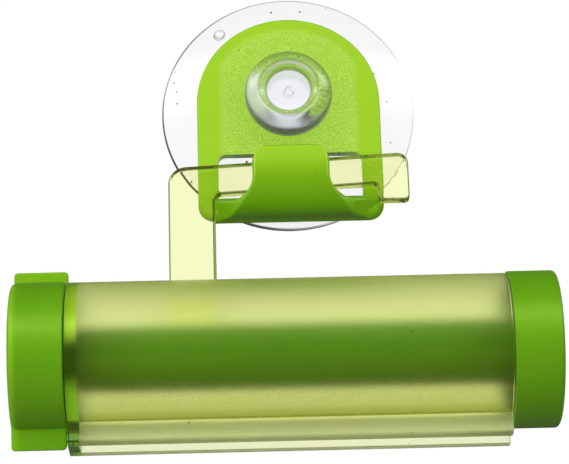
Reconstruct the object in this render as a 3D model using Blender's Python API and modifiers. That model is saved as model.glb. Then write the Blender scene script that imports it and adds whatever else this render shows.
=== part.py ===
"""Toothpaste tube squeezer that hangs from a suction cup hook.

The origin is the middle of the suction cup's sealing face, on the wall.
X runs to the right along the barrel, Y into the wall and Z up.
A toothpaste tube goes into the barrel from the right, past the pulled cap,
its flat end goes through the spindle's slit, and the knob winds it up.
"""

import math

import bmesh
import bpy
from mathutils import Matrix

MM = 0.001

# Facets of round shapes
ROUND_STEPS = 64
CUP_STEPS = 56
SMALL_ROUND_STEPS = 32
CORNER_STEPS = 5
EDGE_STEPS = 2
CUT_OVERRUN = 2 * MM
JOIN_DEPTH = 0.6 * MM
MERGE_DISTANCE = 0.001 * MM
SHARP_ANGLE = math.radians(35)
RUNNING_GAP = 0.3 * MM

# Suction cup
CUP_RADIUS = 27.5 * MM
CUP_RIM_THICKNESS = 0.9 * MM
CUP_LIP_WIDTH = 3 * MM
CUP_DOME_HEIGHT = 4.7 * MM
CUP_CAVITY_DEPTH = 2.6 * MM
CUP_SHOULDER_RADIUS = 6.5 * MM
CUP_CURVE_STEPS = 8
NECK_RADIUS = 4.5 * MM
HEAD_RADIUS = 9.15 * MM
HEAD_THICKNESS = 7.4 * MM
HEAD_BACK_ROUNDING = 2.2 * MM
HEAD_FRONT_ROUNDING = 2.4 * MM
HEAD_MOUTH_RADIUS = 6.2 * MM
HEAD_RECESS_RADIUS = 4.7 * MM
HEAD_RECESS_DEPTH = 3 * MM
HEAD_ROUNDING_STEPS = 4

# Hook plate
PLATE_THICKNESS = 2.1 * MM
PLATE_RADIUS = 19.8 * MM
PLATE_BOTTOM = -27.4 * MM
PLATE_CORNER = 3.4 * MM
PLATE_EDGE = 0.4 * MM
PLATE_ARCH_STEPS = 36
PANEL_DEPTH = 0.3 * MM
PANEL_BORDER = 1.7 * MM
STRIP_WIDTH = 4.4 * MM
WINDOW_TOP = -12.2 * MM
WINDOW_BOTTOM = -22.4 * MM
WINDOW_CORNER = 1.7 * MM

# Hook tongue, which curls forward and up from the plate's lower edge
TONGUE_TOP = -13.7 * MM
TONGUE_WIDTH = 17.2 * MM
TONGUE_THICKNESS = 2.1 * MM
TONGUE_CORNER = 3.3 * MM
TONGUE_EDGE = 0.5 * MM
TROUGH_WIDTH = 5.3 * MM
TROUGH_FLOOR = -24.05 * MM
HOOK_ROOT_WIDTH = 30.4 * MM
HOOK_HEEL_RISE = 0.25 * MM
HOOK_ROOT_SINK = 0.5 * MM
FLARE_START_ABOVE_BEND = 1.8 * MM
FLARE_LENGTH = 11.7 * MM
BEND_STEPS = 14
TONGUE_STEPS = 4

# Barrel, whose axis lies along X
BARREL_FROM_WALL = 6.4 * MM
BARREL_BELOW_CUP = 47.5 * MM
BARREL_LEFT = -46.3 * MM
BARREL_RIGHT = 42.3 * MM
BARREL_RADIUS = 15.6 * MM
BARREL_WALL = 2 * MM
END_WALL = 2.3 * MM
SPIGOT_LENGTH = 8 * MM
SPIGOT_WALL = 1 * MM
SLOT_WIDTH = 4.6 * MM
LIP_THICKNESS = 2.7 * MM
LIP_DROP = 3.3 * MM
LIP_CORNER = 0.5 * MM
LIP_FILLET = 1 * MM

# Arm, a flat bent strip moulded on the barrel
ARM_THICKNESS = 2.8 * MM
ARM_GAP_TO_PLATE = 0.7 * MM
ARM_EDGE = 0.3 * MM
LEG_GAP_TO_HOOK = 1 * MM
LEG_WIDTH = 9.9 * MM
BAR_WIDTH = 6.6 * MM
BAR_SLANT = math.radians(2.6)
TAB_GAP_TO_HOOK = 3.3 * MM
TAB_WIDTH = 6.6 * MM
TAB_DROP = 3.3 * MM
ARM_OUTER_CORNER = 3.8 * MM
ARM_INNER_CORNER = 1.5 * MM
TAB_TOP_CORNER = 2.3 * MM
TAB_LOW_CORNER = 1.1 * MM
TAB_INNER_CORNER = 1 * MM

# Winding spindle
SPINDLE_RADIUS = 6.6 * MM
SPINDLE_SLIT = 2.2 * MM
SPINDLE_HEAD = 4 * MM
SPINDLE_CHAMFER = 0.6 * MM
JOURNAL_RADIUS = 4 * MM
DRIVE_SIDE = 5 * MM
DRIVE_LENGTH = 6 * MM
SPINDLE_END_GAP = 0.5 * MM

# Winding knob
KNOB_OVERHANG = 0.15 * MM
KNOB_LENGTH = 11 * MM
KNOB_WALL = 1.6 * MM
KNOB_FACE = 2 * MM
KNOB_EDGE = 0.6 * MM
HUB_RADIUS = 6 * MM
HUB_GAP = 1.2 * MM
FIN_OFFSET = 8 * MM
FIN_THICKNESS = 2 * MM
FIN_RISE = 2.15 * MM
FIN_EDGE = 0.4 * MM
FIN_REST_ANGLE = math.radians(19.5)

# End cap
CAP_LENGTH = 9.8 * MM
CAP_WALL = 1.05 * MM
CAP_FACE = 1.8 * MM
CAP_EDGE = 0.8 * MM
SOCKET_WALL = 1.4 * MM
SOCKET_DEPTH = 5 * MM

# Heights above the wall and places that follow from the sizes above
PLATE_BACK = CUP_DOME_HEIGHT + RUNNING_GAP
PLATE_FRONT = PLATE_BACK + PLATE_THICKNESS
HEAD_BACK = PLATE_FRONT + RUNNING_GAP
HEAD_FRONT = HEAD_BACK + HEAD_THICKNESS
TROUGH_RADIUS = TROUGH_WIDTH / 2
TROUGH_MIDDLE = PLATE_FRONT + TROUGH_RADIUS
TONGUE_FRONT = PLATE_FRONT + TROUGH_WIDTH + TONGUE_THICKNESS
HOOK_RADIUS = TONGUE_FRONT - TROUGH_MIDDLE
HOOK_BOTTOM = PLATE_BOTTOM + HOOK_HEEL_RISE
ARM_BACK = PLATE_FRONT + ARM_GAP_TO_PLATE
LEG_RIGHT = -HOOK_ROOT_WIDTH / 2 - LEG_GAP_TO_HOOK
LEG_LEFT = LEG_RIGHT - LEG_WIDTH
TAB_LEFT = HOOK_ROOT_WIDTH / 2 + TAB_GAP_TO_HOOK
TAB_RIGHT = TAB_LEFT + TAB_WIDTH
KNOB_RIGHT = BARREL_LEFT - RUNNING_GAP
KNOB_LEFT = KNOB_RIGHT - KNOB_LENGTH
CAP_LEFT = BARREL_RIGHT + RUNNING_GAP
CAP_RIGHT = CAP_LEFT + CAP_LENGTH
AXIS_FROM_WALL = BARREL_FROM_WALL + BARREL_RADIUS
AXIS_BELOW_CUP = BARREL_BELOW_CUP + BARREL_RADIUS
BORE_RADIUS = BARREL_RADIUS - BARREL_WALL
BORE_LEFT = BARREL_LEFT + END_WALL
LIP_REACH = BARREL_RADIUS + LIP_DROP
SPIGOT_RADIUS = BORE_RADIUS + SPIGOT_WALL
SPIGOT_RIGHT = BARREL_RIGHT + SPIGOT_LENGTH
KNOB_RADIUS = BARREL_RADIUS + KNOB_OVERHANG
FIN_REACH = KNOB_RADIUS + FIN_RISE
CAP_RADIUS = SPIGOT_RADIUS + RUNNING_GAP + CAP_WALL

# Each piece is modelled in a frame of its own, whose local Z is the direction
# that it is turned about or extruded along.
OUT_OF_WALL = Matrix.Rotation(math.pi / 2, 4, "X")
ALONG_BARREL = Matrix(((0, 0, 1), (1, 0, 0), (0, 1, 0))).to_4x4()
BARREL_PLACE = Matrix.Translation((0, -AXIS_FROM_WALL, -AXIS_BELOW_CUP))

GREEN = (0.25, 0.50, 0.035)
DEEP_GREEN = (0.13, 0.36, 0.012)
CLEAR_GREEN = (0.72, 0.82, 0.32)
CLEAR = (0.93, 0.90, 0.93)


def clear_scene():
    for obj in list(bpy.data.objects):
        bpy.data.objects.remove(obj, do_unlink=True)


def new_collection(name):
    found = bpy.data.collections.new(name)
    bpy.context.scene.collection.children.link(found)
    return found


def plastic(name, colour, roughness, transmission=0.0):
    """A Principled material of one plastic."""
    material = bpy.data.materials.new(name)
    material.use_nodes = True
    shader = material.node_tree.nodes["Principled BSDF"]
    shader.inputs["Base Color"].default_value = (*colour, 1)
    shader.inputs["Roughness"].default_value = roughness
    shader.inputs["Metallic"].default_value = 0
    shader.inputs["Transmission Weight"].default_value = transmission
    material.diffuse_color = (*colour, 1)
    return material


def arc(centre, radius, start, end, steps):
    """Points on a circle from one angle to another, both included."""
    turn = (end - start) / steps
    return [
        (
            centre[0] + radius * math.cos(start + turn * i),
            centre[1] + radius * math.sin(start + turn * i),
        )
        for i in range(steps + 1)
    ]


def rounded(corners, steps=CORNER_STEPS):
    """A closed outline from corners given as x, y and radius."""
    points = []
    for i, (x, y, radius) in enumerate(corners):
        if not radius:
            points.append((x, y))
            continue
        before = corners[i - 1]
        after = corners[(i + 1) % len(corners)]
        towards = math.atan2(before[1] - y, before[0] - x)
        onwards = math.atan2(after[1] - y, after[0] - x)
        opening = (onwards - towards + math.pi) % (2 * math.pi) - math.pi
        middle = towards + opening / 2
        reach = radius / math.sin(abs(opening) / 2)
        centre = (x + reach * math.cos(middle), y + reach * math.sin(middle))
        half = math.copysign((math.pi - abs(opening)) / 2, opening)
        points += arc(centre, radius, middle + math.pi + half, middle + math.pi - half, steps)
    return points


def place(obj, matrix, collection):
    obj.matrix_world = matrix
    for home in list(obj.users_collection):
        home.objects.unlink(obj)
    collection.objects.link(obj)
    return obj


def mesh_object(name, shape, matrix, collection):
    """An object from a bmesh, whose points are in the object's own frame."""
    bmesh.ops.recalc_face_normals(shape, faces=shape.faces)
    mesh = bpy.data.meshes.new(name)
    shape.to_mesh(mesh)
    shape.free()
    return place(bpy.data.objects.new(name, mesh), matrix, collection)


def extruded(name, outlines, bottom, top, matrix, collection, edge=0.0):
    """A flat outline with its holes, extruded from bottom to top along local Z."""
    curve = bpy.data.curves.new(name, "CURVE")
    curve.dimensions = "2D"
    curve.fill_mode = "BOTH"
    curve.extrude = (top - bottom) / 2 - edge
    curve.bevel_depth = edge
    curve.bevel_resolution = EDGE_STEPS - 1
    curve.offset = -edge
    for outline in outlines:
        spline = curve.splines.new("POLY")
        spline.points.add(len(outline) - 1)
        for point, (x, y) in zip(spline.points, outline):
            point.co = (x, y, 0, 1)
        spline.use_cyclic_u = True
    guide = bpy.data.objects.new(name + "_outline", curve)
    collection.objects.link(guide)
    graph = bpy.context.evaluated_depsgraph_get()
    mesh = bpy.data.meshes.new_from_object(guide.evaluated_get(graph))
    bpy.data.objects.remove(guide, do_unlink=True)
    shape = bmesh.new()
    shape.from_mesh(mesh)
    bpy.data.meshes.remove(mesh)
    bmesh.ops.translate(shape, vec=(0, 0, (top + bottom) / 2), verts=shape.verts)
    bmesh.ops.remove_doubles(shape, verts=shape.verts, dist=MERGE_DISTANCE)
    return mesh_object(name, shape, matrix, collection)


def turned(name, profile, matrix, collection, steps=ROUND_STEPS):
    """A profile of radius and height, from the top of the axis down its outer side."""
    mesh = bpy.data.meshes.new(name)
    points = [(radius, 0, height) for radius, height in profile]
    mesh.from_pydata(points, [(i, i + 1) for i in range(len(points) - 1)], [])
    obj = place(bpy.data.objects.new(name, mesh), matrix, collection)
    screw = obj.modifiers.new("Turn", "SCREW")
    screw.steps = steps
    screw.render_steps = steps
    screw.use_merge_vertices = True
    screw.merge_threshold = MERGE_DISTANCE
    return obj


def block(name, low, high, matrix, collection):
    """A box between two opposite corners."""
    shape = bmesh.new()
    bmesh.ops.create_cube(shape, size=1)
    for vert in shape.verts:
        vert.co = [high[i] if vert.co[i] > 0 else low[i] for i in range(3)]
    return mesh_object(name, shape, matrix, collection)


def rod(name, radius, bottom, top, matrix, collection, steps=ROUND_STEPS):
    """A cylinder about local Z."""
    shape = bmesh.new()
    bmesh.ops.create_cone(
        shape, cap_ends=True, segments=steps, radius1=radius, radius2=radius, depth=top - bottom
    )
    bmesh.ops.translate(shape, vec=(0, 0, (top + bottom) / 2), verts=shape.verts)
    return mesh_object(name, shape, matrix, collection)


def loft(name, rings, matrix, collection):
    """A closed skin over rings of equal length, capped at both ends."""
    shape = bmesh.new()
    rows = [[shape.verts.new(point) for point in ring] for ring in rings]
    for near, far in zip(rows, rows[1:]):
        for i in range(len(near)):
            j = (i + 1) % len(near)
            shape.faces.new((near[i], near[j], far[j], far[i]))
    shape.faces.new(rows[0])
    shape.faces.new(rows[-1])
    return mesh_object(name, shape, matrix, collection)


def combine(obj, other, operation):
    """Joins or cuts with another shape, which stays as a hidden guide."""
    other.hide_render = True
    other.display_type = "WIRE"
    modifier = obj.modifiers.new(other.name, "BOOLEAN")
    modifier.object = other
    modifier.operation = operation
    modifier.solver = "EXACT"


def join(obj, other):
    combine(obj, other, "UNION")


def cut(obj, other):
    combine(obj, other, "DIFFERENCE")


def smooth(obj):
    """Smooth shading with the sharp edges kept, after all other modifiers."""
    obj.data.shade_smooth()
    obj.data.set_sharp_from_angle(angle=SHARP_ANGLE)


def suction_cup(parts, material):
    """One moulding: a thin dome, a neck through the plate and a recessed head."""
    reach = HEAD_RADIUS - HEAD_FRONT_ROUNDING
    lip = (reach - HEAD_MOUTH_RADIUS) / 2
    profile = [(0, HEAD_FRONT - HEAD_RECESS_DEPTH)]
    profile += [(HEAD_RECESS_RADIUS, HEAD_FRONT - HEAD_RECESS_DEPTH)]
    profile += [(HEAD_MOUTH_RADIUS, HEAD_FRONT - lip), (HEAD_MOUTH_RADIUS + lip, HEAD_FRONT)]
    front = (reach, HEAD_FRONT - HEAD_FRONT_ROUNDING)
    profile += arc(front, HEAD_FRONT_ROUNDING, math.pi / 2, 0, HEAD_ROUNDING_STEPS)
    back = (HEAD_RADIUS - HEAD_BACK_ROUNDING, HEAD_BACK + HEAD_BACK_ROUNDING)
    profile += arc(back, HEAD_BACK_ROUNDING, 0, -math.pi / 2, HEAD_ROUNDING_STEPS)
    profile += [(NECK_RADIUS, HEAD_BACK), (NECK_RADIUS, CUP_DOME_HEIGHT)]
    profile += [(CUP_SHOULDER_RADIUS, CUP_DOME_HEIGHT)]
    span = CUP_RADIUS - CUP_SHOULDER_RADIUS
    drop = CUP_DOME_HEIGHT - CUP_RIM_THICKNESS
    for i in range(1, CUP_CURVE_STEPS + 1):
        share = i / CUP_CURVE_STEPS
        profile.append((CUP_SHOULDER_RADIUS + span * share, CUP_DOME_HEIGHT - drop * share**2))
    profile += [(CUP_RADIUS, 0)]
    inner = CUP_RADIUS - CUP_LIP_WIDTH
    for i in range(CUP_CURVE_STEPS + 1):
        share = 1 - i / CUP_CURVE_STEPS
        profile.append((inner * share, CUP_CAVITY_DEPTH * (1 - share**2)))
    cup = turned("suction_cup", profile, OUT_OF_WALL, parts, CUP_STEPS)
    smooth(cup)
    cup.data.materials.append(material)
    return cup


def hook_section(half_width, outer, inner, rounding):
    """One ring of the tongue: a strip with rounded edges between two points of its side view."""
    along = math.hypot(inner[0] - outer[0], inner[1] - outer[1])
    corners = [
        (-half_width, 0, rounding),
        (half_width, 0, rounding),
        (half_width, along, rounding),
        (-half_width, along, rounding),
    ]
    ring = []
    for x, depth in rounded(corners, EDGE_STEPS):
        share = depth / along
        ring.append(
            (x, outer[1] + (inner[1] - outer[1]) * share, outer[0] + (inner[0] - outer[0]) * share)
        )
    return ring


def hook_half_width(below_bend):
    """Half the tongue's width, at a distance along its bend from the straight part."""
    tongue, root = TONGUE_WIDTH / 2, HOOK_ROOT_WIDTH / 2
    share = min(1, max(0, (below_bend + FLARE_START_ABOVE_BEND) / FLARE_LENGTH))
    return tongue + (root - tongue) * (1 - math.cos(math.pi * share)) / 2


def hook_tongue(guides):
    """The curled strip: from inside the plate round the bend and straight up to its top."""
    inner_centre = (TROUGH_MIDDLE, TROUGH_FLOOR + TROUGH_RADIUS)
    outer_centre = (TROUGH_MIDDLE, HOOK_BOTTOM + HOOK_RADIUS)
    root = math.pi + math.asin((inner_centre[1] - WINDOW_BOTTOM + HOOK_ROOT_SINK) / TROUGH_RADIUS)
    middle_radius = (TROUGH_RADIUS + HOOK_RADIUS) / 2
    low_turn = math.pi * 3 / 2
    rings = []
    for i in range(BEND_STEPS + 1):
        angle = root + (2 * math.pi - root) * i / BEND_STEPS
        inner = (
            inner_centre[0] + TROUGH_RADIUS * math.cos(angle),
            inner_centre[1] + TROUGH_RADIUS * math.sin(angle),
        )
        if angle < low_turn:
            share = (angle - root) / (low_turn - root)
            start = PLATE_BACK + HOOK_ROOT_SINK
            outer = (start + (TROUGH_MIDDLE - start) * share, HOOK_BOTTOM)
        else:
            outer = (
                outer_centre[0] + HOOK_RADIUS * math.cos(angle),
                outer_centre[1] + HOOK_RADIUS * math.sin(angle),
            )
        width = hook_half_width((2 * math.pi - angle) * middle_radius)
        rings.append(hook_section(width, outer, inner, TONGUE_EDGE))
    straight = TONGUE_TOP - TONGUE_CORNER
    for i in range(1, TONGUE_STEPS + 1):
        share = i / TONGUE_STEPS
        inner_height = inner_centre[1] + (straight - inner_centre[1]) * share
        outer_height = outer_centre[1] + (straight - outer_centre[1]) * share
        width = hook_half_width(inner_centre[1] - inner_height)
        outer, inner = (TONGUE_FRONT, outer_height), (TONGUE_FRONT - TONGUE_THICKNESS, inner_height)
        rings.append(hook_section(width, outer, inner, TONGUE_EDGE))
    corner = TONGUE_CORNER
    for i in range(1, CORNER_STEPS + 1):
        turn = math.pi / 2 * i / CORNER_STEPS
        height = straight + corner * math.sin(turn)
        width = TONGUE_WIDTH / 2 - corner * (1 - math.cos(turn))
        inset = max(0, TONGUE_EDGE - (TONGUE_TOP - height))
        shrink = TONGUE_EDGE - math.sqrt(TONGUE_EDGE**2 - inset**2)
        outer = (TONGUE_FRONT - shrink, height)
        inner = (TONGUE_FRONT - TONGUE_THICKNESS + shrink, height)
        rings.append(hook_section(width, outer, inner, TONGUE_EDGE))
    return loft("tongue", rings, OUT_OF_WALL, guides)


def hook_plate(parts, guides, material):
    """An arched plate with a window, hung on the cup's neck, and its tongue."""
    arch = arc((0, 0), PLATE_RADIUS, 0, math.pi, PLATE_ARCH_STEPS)
    low = rounded(
        [
            (-PLATE_RADIUS, 0, 0),
            (-PLATE_RADIUS, PLATE_BOTTOM, PLATE_CORNER),
            (PLATE_RADIUS, PLATE_BOTTOM, PLATE_CORNER),
            (PLATE_RADIUS, 0, 0),
        ]
    )
    side = PLATE_RADIUS - STRIP_WIDTH
    window = rounded(
        [
            (-side, WINDOW_BOTTOM, 0),
            (side, WINDOW_BOTTOM, 0),
            (side, WINDOW_TOP, WINDOW_CORNER),
            (-side, WINDOW_TOP, WINDOW_CORNER),
        ]
    )
    plate = extruded(
        "hook_plate",
        [arch + low[1:-1], window],
        PLATE_BACK,
        PLATE_FRONT,
        OUT_OF_WALL,
        parts,
        PLATE_EDGE,
    )
    hole = NECK_RADIUS + RUNNING_GAP
    over, under = PLATE_FRONT + CUT_OVERRUN, PLATE_BACK - CUT_OVERRUN
    neck_hole = rod("neck_hole", hole, under, over, OUT_OF_WALL, guides, SMALL_ROUND_STEPS)
    inset = PLATE_RADIUS - PANEL_BORDER
    end = math.acos(side / inset)
    panel_outline = arc((0, 0), inset, end, math.pi - end, PLATE_ARCH_STEPS)
    panel_outline += [(-side, WINDOW_TOP - CUT_OVERRUN), (side, WINDOW_TOP - CUT_OVERRUN)]
    panel_bottom = PLATE_FRONT - PANEL_DEPTH
    panel = extruded("panel_recess", [panel_outline], panel_bottom, over, OUT_OF_WALL, guides)
    cut(plate, panel)
    cut(plate, neck_hole)
    join(plate, hook_tongue(guides))
    smooth(plate)
    plate.data.materials.append(material)
    return plate


def barrel_outline():
    """The barrel's end view: a circle with the block of its two lips below."""
    half = SLOT_WIDTH / 2 + LIP_THICKNESS
    across = half + LIP_FILLET
    drop = -math.sqrt((BARREL_RADIUS + LIP_FILLET) ** 2 - across**2)
    start = math.atan2(drop, across)
    right = arc((across, drop), LIP_FILLET, math.pi, math.pi + start, CORNER_STEPS)
    tube = arc((0, 0), BARREL_RADIUS, start, math.pi - start, ROUND_STEPS)
    left = arc((-across, drop), LIP_FILLET, -start, 0, CORNER_STEPS)
    foot = [(-half, drop, 0), (-half, -LIP_REACH, LIP_CORNER)]
    foot += [(half, -LIP_REACH, LIP_CORNER), (half, drop, 0)]
    return right[1:-1] + tube + left[1:-1] + rounded(foot)


def arm_outline():
    """The arm from the front, about the cup's axis: leg, slanted bar and the tab at its end."""
    rise = math.tan(BAR_SLANT)
    seat = TROUGH_MIDDLE - ARM_BACK
    rest = TROUGH_FLOOR + TROUGH_RADIUS - math.sqrt(TROUGH_RADIUS**2 - seat**2) + RUNNING_GAP
    start = -HOOK_ROOT_WIDTH / 2
    height = BAR_WIDTH / math.cos(BAR_SLANT)

    def under(x):
        return rest + (x - start) * rise

    root = -AXIS_BELOW_CUP
    tab_low = under(TAB_LEFT) - TAB_DROP
    return rounded(
        [
            (LEG_LEFT, root, 0),
            (LEG_RIGHT, root, 0),
            (LEG_RIGHT, under(LEG_RIGHT), ARM_INNER_CORNER),
            (TAB_LEFT, under(TAB_LEFT), TAB_INNER_CORNER),
            (TAB_LEFT, tab_low, TAB_LOW_CORNER),
            (TAB_RIGHT, tab_low, TAB_LOW_CORNER),
            (TAB_RIGHT, under(TAB_RIGHT) + height, TAB_TOP_CORNER),
            (LEG_LEFT, under(LEG_LEFT) + height, ARM_OUTER_CORNER),
        ]
    )


def barrel(parts, guides, material):
    """The housing: slotted tube, closed left wall, round spigot for the cap, and the arm."""
    here = BARREL_PLACE @ ALONG_BARREL
    tube = extruded("barrel", [barrel_outline()], BARREL_LEFT, BARREL_RIGHT, here, parts)
    spigot = rod("spigot", SPIGOT_RADIUS, BARREL_RIGHT - JOIN_DEPTH, SPIGOT_RIGHT, here, guides)
    arm = extruded(
        "arm", [arm_outline()], ARM_BACK, ARM_BACK + ARM_THICKNESS, OUT_OF_WALL, guides, ARM_EDGE
    )
    far = SPIGOT_RIGHT + CUT_OVERRUN
    bore = rod("bore", BORE_RADIUS, BORE_LEFT, far, here, guides)
    half = SLOT_WIDTH / 2
    low = -LIP_REACH - CUT_OVERRUN
    slot = block("slot", (-half, low, BORE_LEFT), (half, -SPINDLE_RADIUS, far), here, guides)
    journal = JOURNAL_RADIUS + RUNNING_GAP
    near = BARREL_LEFT - CUT_OVERRUN
    past = BORE_LEFT + CUT_OVERRUN
    bearing = rod("bearing", journal, near, past, here, guides, SMALL_ROUND_STEPS)
    join(tube, spigot)
    join(tube, arm)
    cut(tube, bore)
    cut(tube, slot)
    cut(tube, bearing)
    smooth(tube)
    tube.data.materials.append(material)
    return tube


def winding_spindle(parts, guides, material):
    """A slit rod: square drive end, journal, head and two long half-round prongs."""
    here = BARREL_PLACE @ ALONG_BARREL
    left = BORE_LEFT + RUNNING_GAP
    right = CAP_RIGHT - CAP_FACE - SPINDLE_END_GAP
    neck = KNOB_RIGHT - HUB_GAP + RUNNING_GAP
    profile = [
        (0, right),
        (SPINDLE_RADIUS - SPINDLE_CHAMFER, right),
        (SPINDLE_RADIUS, right - SPINDLE_CHAMFER),
        (SPINDLE_RADIUS, left),
        (JOURNAL_RADIUS, left),
        (JOURNAL_RADIUS, neck),
        (0, neck),
    ]
    spindle = turned("winding_spindle", profile, here, parts, SMALL_ROUND_STEPS)
    drive = square_bar("drive_end", DRIVE_SIDE, neck - DRIVE_LENGTH, neck + JOIN_DEPTH, here, guides)
    half = SPINDLE_SLIT / 2
    wide = SPINDLE_RADIUS + CUT_OVERRUN
    slit = block(
        "slit", (-half, -wide, left + SPINDLE_HEAD), (half, wide, right + CUT_OVERRUN), here, guides
    )
    join(spindle, drive)
    cut(spindle, slit)
    smooth(spindle)
    spindle.data.materials.append(material)
    return spindle


def square_bar(name, side, bottom, top, matrix, collection):
    half = side / 2
    return block(name, (-half, -half, bottom), (half, half, top), matrix, collection)


def winding_knob(parts, guides, material):
    """A hollow knob beside the barrel's end wall, with a hub and two flat finger fins."""
    turn = Matrix.Rotation(FIN_REST_ANGLE, 4, "Z")
    here = BARREL_PLACE @ ALONG_BARREL @ turn
    inner = KNOB_RADIUS - KNOB_WALL
    face = KNOB_LEFT + KNOB_FACE
    hub_end = KNOB_RIGHT - HUB_GAP
    profile = [(0, hub_end), (HUB_RADIUS, hub_end), (HUB_RADIUS, face), (inner, face)]
    profile += [(inner, KNOB_RIGHT), (KNOB_RADIUS - KNOB_EDGE / 2, KNOB_RIGHT)]
    profile += [(KNOB_RADIUS, KNOB_RIGHT - KNOB_EDGE / 2)]
    rim = (KNOB_RADIUS - KNOB_EDGE, KNOB_LEFT + KNOB_EDGE)
    profile += arc(rim, KNOB_EDGE, 0, -math.pi / 2, EDGE_STEPS)
    profile += [(0, KNOB_LEFT)]
    knob = turned("winding_knob", profile, here, parts)
    root = math.sqrt((KNOB_RADIUS - KNOB_WALL / 2) ** 2 - FIN_OFFSET**2)
    low, high = FIN_OFFSET - FIN_THICKNESS, FIN_OFFSET
    for name, side in (("upper_fin", 1), ("lower_fin", -1)):
        outline = rounded(
            [
                (side * low, side * root, 0),
                (side * high, side * root, 0),
                (side * high, side * FIN_REACH, FIN_EDGE),
                (side * low, side * FIN_REACH, FIN_EDGE),
            ],
            EDGE_STEPS,
        )
        fin = extruded(name, [outline], KNOB_LEFT + KNOB_EDGE, KNOB_RIGHT - KNOB_EDGE, here, guides)
        join(knob, fin)
    drive_gap = DRIVE_SIDE + 2 * RUNNING_GAP
    drive_end = KNOB_RIGHT - HUB_GAP - DRIVE_LENGTH
    upright = BARREL_PLACE @ ALONG_BARREL
    socket = square_bar(
        "drive_socket", drive_gap, drive_end, hub_end + CUT_OVERRUN, upright, guides
    )
    cut(knob, socket)
    smooth(knob)
    knob.data.materials.append(material)
    return knob


def end_cap(parts, material):
    """A push-on cap over the spigot, with a socket that carries the spindle's free end."""
    here = BARREL_PLACE @ ALONG_BARREL
    inner = CAP_RADIUS - CAP_WALL
    face = CAP_RIGHT - CAP_FACE
    socket = SPINDLE_RADIUS + RUNNING_GAP
    profile = [(0, CAP_RIGHT)]
    rim = (CAP_RADIUS - CAP_EDGE, CAP_RIGHT - CAP_EDGE)
    profile += arc(rim, CAP_EDGE, math.pi / 2, 0, EDGE_STEPS)
    profile += [(CAP_RADIUS, CAP_LEFT), (inner, CAP_LEFT), (inner, face)]
    profile += [(socket + SOCKET_WALL, face), (socket + SOCKET_WALL, face - SOCKET_DEPTH)]
    profile += [(socket, face - SOCKET_DEPTH), (socket, face), (0, face)]
    cap = turned("end_cap", profile, here, parts)
    smooth(cap)
    cap.data.materials.append(material)
    return cap


def main():
    clear_scene()
    parts = new_collection("toothpaste_tube_squeezer")
    guides = new_collection("cutters_and_guides")
    green = plastic("green plastic", GREEN, 0.35)
    deep_green = plastic("deep green plastic", DEEP_GREEN, 0.35)
    clear_green = plastic("clear green plastic", CLEAR_GREEN, 0.25, 0.8)
    clear = plastic("clear soft vinyl", CLEAR, 0.08, 0.95)
    suction_cup(parts, clear)
    hook_plate(parts, guides, green)
    barrel(parts, guides, clear_green)
    winding_spindle(parts, guides, deep_green)
    winding_knob(parts, guides, green)
    end_cap(parts, green)


main()
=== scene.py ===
import bmesh
import bpy
import numpy as np
from mathutils import Matrix


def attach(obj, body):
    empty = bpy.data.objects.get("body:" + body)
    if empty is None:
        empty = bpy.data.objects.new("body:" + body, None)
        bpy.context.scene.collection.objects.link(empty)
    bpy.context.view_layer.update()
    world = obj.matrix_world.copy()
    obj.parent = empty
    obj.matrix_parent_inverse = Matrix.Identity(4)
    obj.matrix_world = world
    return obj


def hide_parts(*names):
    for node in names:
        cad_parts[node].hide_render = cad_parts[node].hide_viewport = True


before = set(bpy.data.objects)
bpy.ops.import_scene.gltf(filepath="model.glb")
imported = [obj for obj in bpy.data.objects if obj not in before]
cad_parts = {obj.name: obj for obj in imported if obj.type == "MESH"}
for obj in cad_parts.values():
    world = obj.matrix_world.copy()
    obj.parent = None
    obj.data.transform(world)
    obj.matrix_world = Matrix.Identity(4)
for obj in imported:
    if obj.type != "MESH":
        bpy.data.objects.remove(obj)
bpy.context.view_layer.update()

MM = 0.001
scene = bpy.context.scene


# Studio and camera. The squeezer hangs in front of a white sweep, and the camera looks up at it
# from below, as in the photograph. Two soft lamps stand before it, a strong one on the left and a
# weaker one on the right. The room round them is dim, which gives clear plastic its dark edges.

CAMERA_TARGET = np.array([-1.5, 0, -27.57]) * MM
CAMERA_DISTANCE, CAMERA_NEAR = 560 * MM, 10 * MM
CAMERA_RISE, CAMERA_TURN, CAMERA_ROLL = np.radians([21.73, 1.2, -1.7])
FRAME_PIXELS, FOCAL_PIXELS = 569, 2602.2
LAMP_AIM, LAMP_SIZE = np.array([0, -15, -35]) * MM, 700 * MM
FLOOR_DROP, FLOOR_HALF = 300 * MM, 1600 * MM
FLOOR_GLOW, GLOW_SHARE = 0.95, 0.75
SMOOTH, COLOUR = {"interpolation_type": "SMOOTHSTEP"}, {"data_type": "RGBA"}


def linear(colour):
    """Linear RGBA of an sRGB hex value: below 0.04045 c / 12.92, above it ((c + 0.055) / 1.055) ** 2.4."""
    c = np.array([int(colour[i:i + 2], 16) for i in (1, 3, 5)]) / 255
    return (*np.where(c < 0.04045, c / 12.92, ((c + 0.055) / 1.055) ** 2.4), 1.0)


def node(tree, kind, inputs=(), **settings):
    """Adds a node with its settings, fills its inputs, in order or by name, and returns its outputs.
    An input is a value, an sRGB hex colour or a link, and a node's outputs link by the first of them."""
    made = tree.nodes.new("ShaderNode" + kind)
    for key, value in settings.items():
        setattr(made, key, value)
    free = [socket for socket in made.inputs if socket.enabled]
    for key, value in inputs.items() if isinstance(inputs, dict) else zip(free, inputs):
        socket = made.inputs[key] if isinstance(key, str) else key
        if isinstance(value, bpy.types.bpy_prop_collection):
            value = next(output for output in value if output.enabled)
        if isinstance(value, bpy.types.NodeSocket):
            tree.links.new(value, socket)
        else:
            socket.default_value = linear(value) if isinstance(value, str) else value
    return made.outputs


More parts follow.
